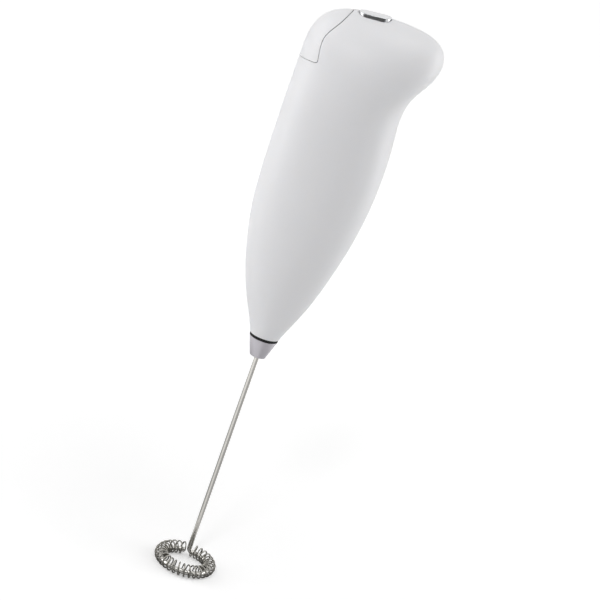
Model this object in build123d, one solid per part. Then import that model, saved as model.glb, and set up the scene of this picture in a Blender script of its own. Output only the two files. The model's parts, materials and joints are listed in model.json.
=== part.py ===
from build123d import *
import os
from math import atan, cos, pi, radians, sin, sqrt

# Battery milk frother: a hooked plastic handle holding two cells and a small motor,
# a nozzle, and a wire whisk whose coil-wrapped ring stirs the milk.
# Millimetres. Z is the spin axis, Z = 0 is the lowest point of the whisk,
# +X is towards the hook of the handle and -Y towards its front half.

# ---- whole object ------------------------------------------------------------
total_height = 215.0
neck_z = 91.95           # lower rim of the handle
neck_r = 5.6
handle_top = total_height - 0.5
handle_height = handle_top - neck_z
back_reach = 21.2        # spin axis to the straight back of the handle
hook_reach = 27.2        # spin axis to the tip of the hook
half_thickness = 17.5
wall = 1.8
floor_t = 2.0
floor_r = 4.2            # radius of the cavity where it meets the floor
running_fit = 0.03       # radial, on every turning shaft
seat_fit = 0.05          # between moulded parts that locate each other

# Guide profiles of the handle, as shares of its reach and of its height
BACK = [(0.39, 0.051), (0.58, 0.124), (0.783, 0.233), (0.943, 0.375), (0.988, 0.515),
        (1.0, 0.687), (0.995, 0.824), (0.972, 0.893), (0.868, 0.943), (0.615, 0.976),
        (0.307, 0.994)]
HOOK = [(0.298, 0.051), (0.428, 0.124), (0.572, 0.233), (0.706, 0.375), (0.765, 0.525),
        (0.752, 0.65), (0.722, 0.735), (0.757, 0.795), (0.878, 0.848), (0.978, 0.893),
        (0.996, 0.925), (0.941, 0.96), (0.77, 0.986), (0.45, 1.0), (0.16, 1.0)]
SIDE = [(0.45, 0.051), (0.63, 0.124), (0.815, 0.233), (0.948, 0.375), (0.994, 0.525),
        (1.0, 0.687), (0.983, 0.808), (0.91, 0.885), (0.745, 0.937), (0.47, 0.975),
        (0.22, 0.994)]
pole_share = 0.997       # height share where the three guides meet, under the button
ring_count = 16
ring_points = 16
crown_share = 0.97       # guide share of the last section, round the button
squareness = 0.12        # how much fuller than an ellipse the middle sections are

# ---- power button ------------------------------------------------------------
button_length = 11.3
button_width = 11.0
button_corner = 3.4
button_tilt = 6.0
button_x = -0.75
button_edge = 0.6
button_gap = 0.25
button_skirt = 3.5       # depth of the button above its flange
flange_extra = 0.9
flange_t = 1.0
collar_wall = 1.5
stem_r = 1.4
stem_length = 1.5
button_travel = 1.2

# ---- switch ------------------------------------------------------------------
leaf_gap = 0.05
leaf_t = 0.25
leaf_w = 4.0
leaf_reach = 4.5         # button axis to the free end of the leaf
hinge_x = 7.5            # button axis to the root of the leaf
rivet_r = 1.0
rivet_t = 0.5
contact_gap = 2.0
contact_t = 0.3
base_t = 1.6
base_half_w = 7.0
base_left = 5.5
base_right = 10.0
post_w = 2.2
tab_w = 2.4
tab_t = 0.3
tab_drop = 4.0
terminal_end = 12.6

# ---- cells and their cradle ----------------------------------------------------
cell_r = 5.25
cell_length = 44.5       # over the positive nub
nub_r = 1.9
nub_h = 0.9
cell_tilt = 18.0
cell_half_pitch = 5.75
cell_top = (-11.3, 196.9)
cradle_clear = 0.2
cradle_wall = 1.2
cradle_full = 12.0
cradle_open = 32.0
cradle_depth = 5.4       # cell bottoms down to the contact plate
plate_half_x = 6.2
plate_half_y = 11.6
rib_t = 1.2
rib_height = 20.0
wire_lane = 9.0          # free space left beside the cradle for the leads
spring_wire_r = 0.3
spring_base_r = 4.0
spring_turns = 4
contact_plate = 7.0
contact_clear = 0.1

# ---- battery cap ---------------------------------------------------------------
seam_gap = 0.15
seam_low = 192.6
seam_corner = (-13.6, 193.5)
seam_side = [(-14.5, 199.4), (-14.25, 202.6), (-12.9, 205.3), (-10.9, 208.3), (-8.0, 213.5)]
seam_corner_r = 1.0
bridge_half_x = 3.0
bridge_half_y = 8.0
bridge_t = 0.4
block_left = 6.0
block_t = 3.2

# ---- motor -----------------------------------------------------------------------
motor_z = 111.5
can_length = 20.5
can_r = 10.2
can_half_flat = 7.7
can_t = 0.8
boss_r = 3.0
boss_h = 1.6
bush_r = 2.0
motor_shaft_r = 1.0
end_cap_length = 5.0
end_cap_wall = 1.6
magnet_t = 2.0
magnet_half_y = 5.6
magnet_margin = 1.0
core_r = 6.4
core_z = 116.5
core_length = 10.0
hub_r = 2.2
arm_w = 2.4
shoe_t = 1.3
shoe_span = 96.0
winding_t = 1.5
winding_over = 2.0
commutator_r = 2.3
commutator_z = 129.6
commutator_length = 3.8
groove_w = 0.3
brush_gap = 0.15
brush_t = 0.2
brush_w = 2.0
terminal_x = 6.5
terminal_t = 0.4
terminal_w = 2.4
terminal_h = 4.0
rib_low_z = 115.0
rib_high_z = 131.0
motor_rib_t = 1.5

# ---- neck, nozzle and coupling ---------------------------------------------------
nozzle_z = 83.5
nozzle_tip_r = 3.05
nozzle_top_r = 5.3
nozzle_round = 0.4
nozzle_mouth_r = 1.4
nozzle_lip = 0.8
seal_t = 1.15
seal_r = 5.35
seal_edge = 0.1
spigot_r = 3.2
spigot_bore_r = 2.0
spigot_length = 3.7
bush_seat_r = 2.0
bush_gap = 0.1
coupling_r = 3.0
coupling_z = 96.8
coupling_length = 11.4
coupling_join = 5.2      # length of whisk wire inside the coupling
coupling_groove = 0.4

# ---- whisk -----------------------------------------------------------------------
wire_r = 0.9
ring_r = 9.3             # centre line of the core ring
bend_r = 1.5
coil_wire_r = 0.275
coil_outer_r = 2.5
coil_seat = 0.3          # between the core and the coil below it
coil_turns = 30
coil_start = 7.0         # degrees round the ring from the shaft
coil_end = 350.5
coil_phase = 0.5         # part of a turn at which the wire starts
ring_end = 352.0
coil_steps = 12          # sections in each turn

# ---- case screws -------------------------------------------------------------------
SCREWS = [(16.0, 146.0), (-13.5, 146.0), (17.0, 201.0)]
screw_r = 1.25
screw_head_r = 2.4
screw_head_t = 1.7
screw_bite = 7.0
screw_drive_r = 1.1
screw_drive_depth = 0.9
screw_boss_r = 3.1
screw_clear = 0.15
screw_seat = 3.0         # plastic left between the head and the joint of the halves

# ---- leads ---------------------------------------------------------------------------
lead_r = 0.65
lead_bend = 2.2
lead_drop = 8.0


def frame_of(x, z, tilt):
    """Work plane at (x, z) on the middle plane, leaning back by tilt degrees."""
    a = radians(tilt)
    return Plane(origin=(x, 0, z), x_dir=(cos(a), 0, sin(a)), z_dir=(-sin(a), 0, cos(a)))


button_right_z = total_height
button_top_z = button_right_z - button_length / 2 * sin(radians(button_tilt))
button_frame = frame_of(button_x, button_top_z, button_tilt)
cell_lean = radians(cell_tilt)
cell_base = (cell_top[0] + cell_length * sin(cell_lean),
             cell_top[1] - cell_length * cos(cell_lean))
cell_frame = frame_of(cell_base[0], cell_base[1], cell_tilt)


def cyl(r, z0, z1, x=0.0, y=0.0):
    return Pos(x, y, z0) * Cylinder(r, z1 - z0, align=(Align.CENTER, Align.CENTER, Align.MIN))


def tube(outer, inner, z0, z1, x=0.0, y=0.0):
    return cyl(outer, z0, z1, x, y) - cyl(inner, z0, z1, x, y)


def block(x0, x1, y0, y1, z0, z1):
    return Pos((x0 + x1) / 2, (y0 + y1) / 2, (z0 + z1) / 2) * Box(x1 - x0, y1 - y0, z1 - z0)


def button_outline(grow, z0, z1):
    """The button's oblong with rounded corners, grown all round."""
    oblong = RectangleRounded(button_length + 2 * grow, button_width + 2 * grow, button_corner + grow)
    return Pos(0, 0, z0) * extrude(oblong, z1 - z0)


# ---- handle skin ---------------------------------------------------------------------
def guide(reach, shares, pole_x):
    points = [Vector(neck_r, 0, neck_z)]
    for across, up in shares:
        points.append(Vector(reach * across, 0, neck_z + handle_height * up))
    points.append(Vector(pole_x, 0, neck_z + handle_height * pole_share))
    return Spline(points)


back_guide = guide(back_reach, BACK, -button_x)
hook_guide = guide(hook_reach, HOOK, button_x)
side_guide = guide(half_thickness, SIDE, 0.0)


def on_guide(curve, t, inset):
    point = curve @ t
    along = curve % t
    size = sqrt(along.X ** 2 + along.Z ** 2)
    return point.X - inset * along.Z / size, point.Z + inset * along.X / size


def section(t, inset):
    """One closed section of the handle, inset from its skin."""
    xb, zb = on_guide(back_guide, t, inset)
    xh, zh = on_guide(hook_guide, t, inset)
    ys, zs = on_guide(side_guide, t, inset)
    fuller = squareness * sin(pi * t)
    points = []
    for i in range(ring_points):
        a = 2 * pi * i / ring_points
        c = cos(a) * (1 + fuller * sin(a) ** 2)
        s = sin(a) * (1 + fuller * cos(a) ** 2)
        x = (xh - xb) / 2 + (xh + xb) / 2 * c
        z = zs + (zh - zb) / 2 * c + ((zh + zb) / 2 - zs) * c * c
        points.append(Vector(x, ys * s, z))
    even = [i / ring_points for i in range(ring_points + 1)]
    return Wire([Edge.make_spline(points, periodic=True, parameters=even)])


def first_section(r, z):
    corners = [2 * pi * i / ring_points for i in range(ring_points)]
    points = [Vector(r * cos(a), r * sin(a), z) for a in corners]
    even = [i / ring_points for i in range(ring_points + 1)]
    return Wire([Edge.make_spline(points, periodic=True, parameters=even)])


def handle_solid(inset):
    start = first_section(neck_r, neck_z)
    if inset > 0:
        start = first_section(floor_r, neck_z + floor_t)
    stations = [start]
    for i in range(1, ring_count):
        stations.append(section(i / ring_count, inset))
    stations.append(section(crown_share, inset))
    pole_x, pole_z = on_guide(back_guide, 1.0, inset)
    stations.append(Vertex(button_x, 0, pole_z))
    return Solid.make_loft(stations)


outer = handle_solid(0.0)
cavity = handle_solid(wall)
reach_all = 60.0
front_space = block(-reach_all, reach_all, -reach_all, 0, 0, total_height + wall)
rear_space = block(-reach_all, reach_all, 0, reach_all, 0, total_height + wall)


# ---- battery cap ------------------------------------------------------------------------
def cap_space():
    """The corner of the handle that the battery cap replaces."""
    low_slope = (seam_corner[1] - seam_low) / (seam_corner[0] + back_reach)
    far_x = -back_reach - 2 * wall
    start = (far_x, seam_low - low_slope * 2 * wall)
    rise = Vector(seam_side[-1][0] - seam_side[-2][0], seam_side[-1][1] - seam_side[-2][1])
    end = (seam_side[-1][0] + rise.X, seam_side[-1][1] + rise.Y)
    low_edge = Polyline([start, seam_corner])
    side_edge = Spline([seam_corner] + seam_side + [end])
    close = Polyline([end, (end[0], total_height + 2 * wall), (far_x, total_height + 2 * wall), start])
    outline = make_face([low_edge, side_edge, close])
    corner = outline.vertices().sort_by_distance(seam_corner)[0]
    outline = fillet(corner, seam_corner_r)
    return extrude(Plane.XZ * outline, half_thickness + wall, both=True)


def make_bridge():
    low = cell_length + contact_clear
    return cell_frame * block(-bridge_half_x, bridge_half_x, -bridge_half_y, bridge_half_y,
                              low, low + bridge_t)


def make_cap():
    low = cell_length + contact_clear + bridge_t
    carrier = cell_frame * block(-block_left - cell_r, bridge_half_x, -bridge_half_y,
                                 bridge_half_y, low, low + block_t)
    hollow = cavity - carrier
    space = Pos(-seam_gap, 0, seam_gap) * cap_space()
    return (outer & (space + carrier)) - hollow


# ---- shell halves -----------------------------------------------------------------------
def motor_profile(z0, z1, grow):
    flat = can_half_flat + grow
    return cyl(can_r + grow, z0, z1) & block(-can_r * 2, can_r * 2, -flat, flat, z0, z1)


def shell_ribs():
    low = block(-reach_all, reach_all, -reach_all, reach_all, rib_low_z, rib_low_z + motor_rib_t)
    high = block(-reach_all, reach_all, -reach_all, reach_all, rib_high_z, rib_high_z + motor_rib_t)
    motor = (low + high) & cavity
    motor = motor - motor_profile(motor_z, motor_z + can_length + end_cap_length, seat_fit)
    shelf_z = -cradle_depth - cradle_wall
    shelf = block(-reach_all, wire_lane, -reach_all, reach_all, shelf_z - rib_t, shelf_z)
    shelf = shelf - block(-plate_half_x, wire_lane, 1 - plate_half_y, plate_half_y - 1,
                          shelf_z - rib_t, shelf_z)
    collar = block(-reach_all, wire_lane, -reach_all, reach_all, rib_height, rib_height + rib_t)
    collar = collar - cradle_outline(rib_height, rib_height + rib_t, seat_fit)
    low_rib = (cell_frame * shelf) & cavity
    high_rib = (cell_frame * collar) & cavity
    return motor + low_rib + high_rib


def switch_levels():
    leaf_top = -button_skirt - flange_t - stem_length - leaf_gap
    leaf_low = leaf_top - leaf_t
    contact_top = leaf_low - rivet_t - contact_gap
    base_top = contact_top - contact_t
    return leaf_top, leaf_low, contact_top, base_top


leaf_top, leaf_low, contact_top, base_top = switch_levels()
base_low = base_top - base_t


def switch_shelf():
    shelf = block(-base_left, base_right, -reach_all, reach_all, base_low - rib_t, base_low)
    shelf = shelf - block(-base_left, base_right, 1 - base_half_w, base_half_w - 1,
                          base_low - rib_t, base_low)
    return (button_frame * shelf) & cavity


def button_collar():
    ring = button_outline(collar_wall + button_gap, -button_skirt + leaf_gap, 0)
    return (button_frame * ring) & outer


def button_hole():
    """Hole for the button, with a pocket for its flange below the collar."""
    low = -button_skirt - flange_t - button_travel
    pocket = button_outline(flange_extra + button_gap, low, -button_skirt + leaf_gap)
    return button_frame * (button_outline(button_gap, low, wall) + pocket)


def screw_frame(x, z):
    """Work plane on the joint of the halves, its z axis pointing out of the rear half."""
    return Plane(origin=(x, 0, z), x_dir=(1, 0, 0), z_dir=(0, 1, 0))


def screw_bosses(shell, space):
    for x, z in SCREWS:
        post = screw_frame(x, z) * cyl(screw_boss_r, -reach_all / 2, reach_all / 2)
        shell = shell + (post & cavity & space)
    return shell


def make_spigot():
    return tube(spigot_r, spigot_bore_r, neck_z - spigot_length, neck_z + floor_t)


def make_shells():
    whole = outer - cavity
    whole = whole - cap_space()
    whole = whole + (shell_ribs() - cap_space()) + switch_shelf() + button_collar()
    whole = whole - button_hole() + make_spigot() - cyl(spigot_bore_r, nozzle_z, neck_z + floor_t)
    front = screw_bosses(whole & front_space, front_space)
    rear = screw_bosses(whole & rear_space, rear_space)
    for x, z in SCREWS:
        place = screw_frame(x, z)
        front = front - place * cyl(screw_r, -screw_bite - screw_clear, 0)
        rear = rear - place * cyl(screw_r + screw_clear, 0, reach_all)
        rear = rear - place * cyl(screw_head_r + screw_clear, screw_seat, reach_all)
    return front, rear


def make_screw():
    shank = cyl(screw_r, -screw_bite, screw_seat)
    head = cyl(screw_head_r, screw_seat, screw_seat + screw_head_t)
    head = fillet(head.edges().group_by(Axis.Z)[-1], screw_head_t / 3)
    top = screw_seat + screw_head_t
    arm = screw_drive_r
    thin = screw_drive_r / 4
    drive = block(-arm, arm, -thin, thin, top - screw_drive_depth, top)
    drive = drive + block(-thin, thin, -arm, arm, top - screw_drive_depth, top)
    return shank + head - drive


def make_screws():
    one = make_screw()
    return [screw_frame(x, z) * one for x, z in SCREWS]


# ---- nozzle -----------------------------------------------------------------------------
def make_nozzle():
    top = neck_z - seal_t
    cone = Pos(0, 0, nozzle_z) * Cone(nozzle_tip_r, nozzle_top_r, top - nozzle_z,
                                      align=(Align.CENTER, Align.CENTER, Align.MIN))
    cone = fillet(cone.edges().group_by(Axis.Z)[0], nozzle_round)
    socket = cyl(spigot_r + seat_fit, neck_z - spigot_length - bush_gap, top)
    seat = cyl(bush_seat_r, nozzle_z + nozzle_lip, neck_z - spigot_length)
    return cone - socket - seat - cyl(nozzle_mouth_r, nozzle_z, nozzle_z + nozzle_lip)


def make_bush():
    low = nozzle_z + nozzle_lip
    high = neck_z - spigot_length - bush_gap
    return tube(bush_seat_r, wire_r + running_fit, low, high)


def make_seal():
    ring = tube(seal_r, spigot_r + seat_fit, neck_z - seal_t, neck_z)
    rims = ring.edges().filter_by(GeomType.CIRCLE).sort_by(SortBy.RADIUS)[-2:]
    return fillet(rims, seal_edge)


# ---- motor ------------------------------------------------------------------------------
end_cap_z = motor_z + can_length
motor_top = end_cap_z + end_cap_length


def make_can():
    can = motor_profile(motor_z, end_cap_z, 0)
    can = fillet(can.edges().group_by(Axis.Z)[0], can_t / 2)
    can = can - motor_profile(motor_z + can_t, end_cap_z, -can_t)
    can = can + cyl(boss_r, motor_z - boss_h, motor_z + can_t)
    return can - cyl(bush_r, motor_z - boss_h, motor_z + can_t)


def make_magnets():
    z0 = motor_z + can_t + magnet_margin
    z1 = end_cap_z - 2 * magnet_margin
    ring = tube(can_r - can_t, can_r - can_t - magnet_t, z0, z1)
    right = ring & block(0, can_r, -magnet_half_y, magnet_half_y, z0, z1)
    return [right, Rot(0, 0, 180) * right]


def make_end_cap():
    cap = motor_profile(end_cap_z, motor_top, 0)
    cap = fillet(cap.edges().group_by(Axis.Z)[-1], end_cap_wall / 4)
    cap = cap - motor_profile(end_cap_z, motor_top - end_cap_wall, -end_cap_wall)
    hub_low = commutator_z + commutator_length + contact_clear * 2
    cap = cap + cyl(boss_r, hub_low, motor_top)
    cap = cap - cyl(bush_r, hub_low, motor_top)
    for piece in make_terminals():
        cap = cap - piece
    return cap


def make_terminals():
    z0 = commutator_z
    right = block(terminal_x - terminal_t / 2, terminal_x + terminal_t / 2, -terminal_w / 2,
                  terminal_w / 2, z0 + brush_w, motor_top + terminal_h)
    return [right, Rot(0, 0, 180) * right]


def make_brushes():
    mid = commutator_z + commutator_length / 2
    inner = commutator_r + brush_gap
    right = block(-hub_r, terminal_x - terminal_t, inner, inner + brush_t, mid - brush_w / 2,
                  mid + brush_w / 2)
    root = block(terminal_x - terminal_t - brush_t, terminal_x - terminal_t / 2,
                 terminal_w / 2 - brush_t, inner + brush_t, mid - brush_w / 2, mid + brush_w / 2)
    right = right + root
    return [right, Rot(0, 0, 180) * right]


def make_front_bush():
    return tube(bush_r, motor_shaft_r + running_fit, motor_z - boss_h, motor_z + can_t)


def make_rear_bush():
    low = commutator_z + commutator_length + contact_clear * 2
    return tube(bush_r, motor_shaft_r + running_fit, low, motor_top)


def make_motor_shaft():
    return cyl(motor_shaft_r, coupling_z + coupling_join + running_fit, motor_top)


def make_core():
    core = cyl(hub_r, core_z, core_z + core_length)
    for k in range(3):
        arm = block(0, core_r - shoe_t / 2, -arm_w / 2, arm_w / 2, core_z, core_z + core_length)
        wide = core_r * 2
        half = radians(shoe_span / 2)
        wedge = Polyline([(0, 0), (wide * cos(half), wide * sin(half)), (wide * 2, 0),
                          (wide * cos(half), -wide * sin(half)), (0, 0)])
        sector = Pos(0, 0, core_z) * extrude(make_face(wedge), core_length)
        shoe = tube(core_r, core_r - shoe_t, core_z, core_z + core_length) & sector
        core = core + Rot(0, 0, 120 * k) * (arm + shoe)
    return core - cyl(motor_shaft_r, core_z, core_z + core_length)


def make_windings():
    half = arm_w / 2
    inner = hub_r + brush_t
    outer_end = sqrt((core_r - shoe_t) ** 2 - (half + winding_t) ** 2) - brush_t
    low = core_z - winding_over
    high = core_z + core_length + winding_over
    coil = block(inner, outer_end, -half - winding_t, half + winding_t, low, high)
    coil = fillet(coil.edges().filter_by(Axis.X), winding_t * 0.8)
    coil = coil - block(inner, outer_end, -half, half, core_z, core_z + core_length)
    return [Rot(0, 0, 120 * k) * coil for k in range(3)]


def make_commutator():
    top = commutator_z + commutator_length
    drum = tube(commutator_r, motor_shaft_r, commutator_z, top)
    for k in range(3):
        groove = block(commutator_r - groove_w, commutator_r, -groove_w / 2, groove_w / 2,
                       commutator_z, top)
        drum = drum - Rot(0, 0, 120 * k + 60) * groove
    return drum


def make_coupling():
    top = coupling_z + coupling_length
    sleeve = cyl(coupling_r, coupling_z, top)
    sleeve = chamfer(sleeve.edges().filter_by(GeomType.CIRCLE), coupling_groove)
    for share in (0.3, 0.5, 0.7):
        mid = coupling_z + coupling_length * share
        sleeve = sleeve - tube(coupling_r, coupling_r - coupling_groove, mid,
                               mid + coupling_groove * 2)
    split = coupling_z + coupling_join
    return sleeve - cyl(wire_r, coupling_z, split) - cyl(motor_shaft_r, split, top)


# ---- whisk ------------------------------------------------------------------------------
ring_z = 2 * coil_wire_r + coil_seat + wire_r
coil_rise = coil_outer_r - ring_z
ring_offset = sqrt(ring_r ** 2 + bend_r ** 2)
bend_angle = atan(bend_r / ring_r)


def ring_point(angle, beyond=0.0, rise=0.0):
    """Point near the core ring; angle runs clockwise from the side nearest the shaft."""
    r = ring_r + beyond
    return Vector(r * sin(angle), r * cos(angle) - ring_offset, ring_z + rise)


def make_whisk_frame():
    start = ring_point(bend_angle)
    along = Vector(cos(bend_angle), -sin(bend_angle), 0)
    corner = start - along * bend_r
    middle = corner + (along + Vector(0, 0, 1)) * bend_r
    lowest = (along + Vector(0, 0, 1)).normalized() * bend_r
    foot = corner + Vector(0, 0, bend_r)
    top = Vector(foot.X, foot.Y, coupling_z + coupling_join - running_fit)
    shaft = Line(top, foot)
    bend = ThreePointArc(foot, middle - lowest, start)
    half = (bend_angle + radians(ring_end)) / 2
    ring = ThreePointArc(start, ring_point(half), ring_point(radians(ring_end)))
    path = Wire([shaft, bend, ring])
    return sweep(Plane(origin=top, z_dir=(0, 0, -1)) * Circle(wire_r), path=path)


def coil_point(turn):
    """Centre of the coil's wire, and the centre of the turn it is in."""
    r = coil_outer_r - coil_wire_r
    a = radians(coil_start + (coil_end - coil_start) * turn / coil_turns)
    wound = 2 * pi * (turn + coil_phase)
    return ring_point(a, r * cos(wound), coil_rise + r * sin(wound)), ring_point(a, 0, coil_rise)


def coil_turn(number):
    rings = []
    for i in range(coil_steps + 1):
        turn = number + i / coil_steps
        point, centre = coil_point(turn)
        before, _ = coil_point(turn - 0.5 / coil_steps)
        after, _ = coil_point(turn + 0.5 / coil_steps)
        place = Plane(origin=point, x_dir=point - centre, z_dir=after - before)
        rings.append(Wire.make_circle(coil_wire_r, place))
    return Solid.make_loft(rings, ruled=True)


def make_coil():
    turns = [coil_turn(k) for k in range(coil_turns)]
    return turns[0].fuse(*turns[1:])


# ---- cells, cradle and contacts ----------------------------------------------------------
def cradle_outline(z0, z1, grow):
    r = cell_r + cradle_clear + cradle_wall + grow
    return cyl(r, z0, z1, 0, -cell_half_pitch) + cyl(r, z0, z1, 0, cell_half_pitch)


def make_cell(side, upright):
    body_length = cell_length - nub_h
    body = cyl(cell_r, 0, body_length)
    body = fillet(body.edges().filter_by(GeomType.CIRCLE), cell_r / 15)
    nub = cyl(nub_r, body_length, cell_length)
    nub = fillet(nub.edges().group_by(Axis.Z)[-1], nub_h / 4)
    cell = body + nub
    if not upright:
        cell = Pos(0, 0, cell_length) * Rot(180, 0, 0) * cell
    return cell_frame * (Pos(0, side * cell_half_pitch, 0) * cell)


def make_cradle():
    bore_r = cell_r + cradle_clear
    cradle = cradle_outline(-cradle_depth, cradle_open, 0)
    for side in (-1, 1):
        cradle = cradle - cyl(bore_r, -cradle_depth, cradle_open, 0, side * cell_half_pitch)
    wide = plate_half_y * 2
    cradle = cradle - block(-wide, -cradle_wall, -wide, wide, cradle_full, cradle_open)
    plate_low = -cradle_depth - cradle_wall
    plate = block(-plate_half_x, plate_half_x, -plate_half_y, plate_half_y, plate_low,
                  -cradle_depth)
    pad_half = contact_plate / 2
    pad = block(-pad_half, pad_half, cell_half_pitch - pad_half, cell_half_pitch + pad_half,
                -cradle_depth, -contact_clear - contact_t)
    return cell_frame * (cradle + plate + pad - tab_slots())


def contact_tab(x, side, z1):
    y = side * cell_half_pitch
    low = -cradle_depth - cradle_wall - tab_drop
    return block(x - tab_t, x, y - tab_w / 2, y + tab_w / 2, low, z1)


def tab_slots():
    half = contact_plate / 2
    return contact_tab(-half + tab_t, -1, -cradle_depth) + contact_tab(half, 1, 0)


def make_spring():
    half = contact_plate / 2
    low = -cradle_depth
    plate = block(-half, half, -cell_half_pitch - half, -cell_half_pitch + half, low,
                  low + contact_t)
    height = cradle_depth - contact_t - contact_clear - 2 * spring_wire_r
    helix = Helix(height / spring_turns, height, spring_base_r - half / 4, cone_angle=-20)
    start = helix @ 0
    wire = sweep(Plane(origin=start, z_dir=helix % 0) * Circle(spring_wire_r), path=helix)
    wire = Pos(0, -cell_half_pitch, low + contact_t + spring_wire_r / 2) * wire
    return cell_frame * (plate + wire + contact_tab(-half + tab_t, -1, low))


def make_positive():
    half = contact_plate / 2
    top = -contact_clear
    plate = block(-half, half, cell_half_pitch - half, cell_half_pitch + half,
                  top - contact_t, top)
    return cell_frame * (plate + contact_tab(half, 1, top - contact_t))


# ---- button and switch --------------------------------------------------------------------
def make_button():
    cap = button_outline(0, -button_skirt, 0)
    cap = fillet(cap.edges().group_by(Axis.Z)[-1], button_edge)
    flange = button_outline(flange_extra, -button_skirt - flange_t, -button_skirt)
    foot = -button_skirt - flange_t - stem_length
    stem = cyl(stem_r, foot + stem_r, -button_skirt - flange_t) + Pos(0, 0, foot + stem_r) * Sphere(stem_r)
    return button_frame * (cap + flange + stem)


def make_leaf():
    leaf = block(-leaf_reach, hinge_x, -leaf_w / 2, leaf_w / 2, leaf_low, leaf_top)
    rivet_x = rivet_r * 1.5 - leaf_reach
    return button_frame * (leaf + cyl(rivet_r, leaf_low - rivet_t, leaf_low, rivet_x))


def make_switch_base():
    base = block(-base_left, base_right, -base_half_w, base_half_w, base_low, base_top)
    post = block(hinge_x + contact_clear, base_right, -base_half_w + wall, base_half_w - wall,
                 base_top, leaf_low)
    return button_frame * (base + post - contact_slot())


def contact_slot():
    x = hinge_x / 2
    return block(x - tab_t, x, -tab_w / 2, tab_w / 2, base_low - tab_drop, base_top)


def make_contact():
    strip = block(-base_left + contact_t, hinge_x / 2, -leaf_w / 2, leaf_w / 2, base_top,
                  contact_top)
    rivet_x = rivet_r * 1.5 - leaf_reach
    rivet = cyl(rivet_r, contact_top, contact_top + contact_t / 2, rivet_x)
    return button_frame * (strip + rivet + contact_slot())


def make_common():
    strip = block(hinge_x + contact_clear, terminal_end, -leaf_w / 2, leaf_w / 2, leaf_low,
                  leaf_top)
    return button_frame * strip


# ---- leads --------------------------------------------------------------------------------
def lead(points):
    path = FilletPolyline(points, radius=lead_bend)
    start = path @ 0
    return sweep(Plane(origin=start, z_dir=path % 0) * Circle(lead_r), path=path)


def cell_point(x, y, z):
    return cell_frame.from_local_coords(Vector(x, y, z))


def button_point(x, y, z):
    return button_frame.from_local_coords(Vector(x, y, z))


terminal_mid = motor_top + terminal_h * 0.6
terminal_face = terminal_x + terminal_t / 2
tab_mid = -cradle_depth - cradle_wall - tab_drop * 0.6
lane_x = 11.65


def make_lead_negative():
    half = contact_plate / 2
    return lead([Vector(-terminal_face, 0, terminal_mid),
                 Vector(-lane_x, 0, terminal_mid),
                 cell_point(-lead_drop * 1.8, -cell_half_pitch, tab_mid),
                 cell_point(-half, -cell_half_pitch, tab_mid)])


def make_lead_positive():
    half = contact_plate / 2
    slot_mid = base_low - tab_drop * 0.6
    return lead([cell_point(half, cell_half_pitch, tab_mid),
                 cell_point(half + lead_drop / 2, cell_half_pitch, tab_mid),
                 button_point(hinge_x / 2 + lead_drop * 0.6, 0, slot_mid),
                 button_point(hinge_x / 2, 0, slot_mid)])


def make_lead_switched():
    end_x = terminal_end - 2 * lead_r
    return lead([button_point(end_x, 0, leaf_low),
                 button_point(end_x, 0, leaf_low - lead_drop),
                 Vector(lane_x, 0, terminal_mid),
                 Vector(terminal_face, 0, terminal_mid)])


# ---- write every piece ----------------------------------------------------------------------
def as_node(shape):
    if isinstance(shape, (list, tuple, ShapeList)):
        return Compound(list(shape))
    return shape


front_shell, rear_shell = make_shells()
NODES = {
    "front_shell": front_shell,
    "rear_shell": rear_shell,
    "shell_screws": make_screws(),
    "nozzle": make_nozzle(),
    "nozzle_seal": make_seal(),
    "shaft_bush": make_bush(),
    "motor_can": make_can(),
    "motor_magnets": make_magnets(),
    "motor_end_cap": make_end_cap(),
    "motor_terminals": make_terminals(),
    "motor_brushes": make_brushes(),
    "motor_front_bush": make_front_bush(),
    "motor_rear_bush": make_rear_bush(),
    "motor_shaft": make_motor_shaft(),
    "armature_core": make_core(),
    "armature_windings": make_windings(),
    "commutator": make_commutator(),
    "shaft_coupling": make_coupling(),
    "whisk_frame": make_whisk_frame(),
    "whisk_coil": make_coil(),
    "battery_front": make_cell(-1, True),
    "battery_rear": make_cell(1, False),
    "battery_cradle": make_cradle(),
    "negative_spring": make_spring(),
    "positive_terminal": make_positive(),
    "battery_cap": make_cap(),
    "bridge_contact": make_bridge(),
    "power_button": make_button(),
    "switch_leaf": make_leaf(),
    "switch_base": make_switch_base(),
    "switch_contact": make_contact(),
    "switch_terminal": make_common(),
    "lead_negative": make_lead_negative(),
    "lead_positive": make_lead_positive(),
    "lead_switched": make_lead_switched(),
}
os.makedirs("parts", exist_ok=True)
for name, shape in NODES.items():
    export_step(as_node(shape), f"parts/{name}.step")
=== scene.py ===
import json
from math import atan2, cos, hypot, pi, radians, sin

import bmesh
import bpy
from bpy.props import FloatProperty, FloatVectorProperty, IntProperty, PointerProperty
from mathutils import Matrix, Vector


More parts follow.
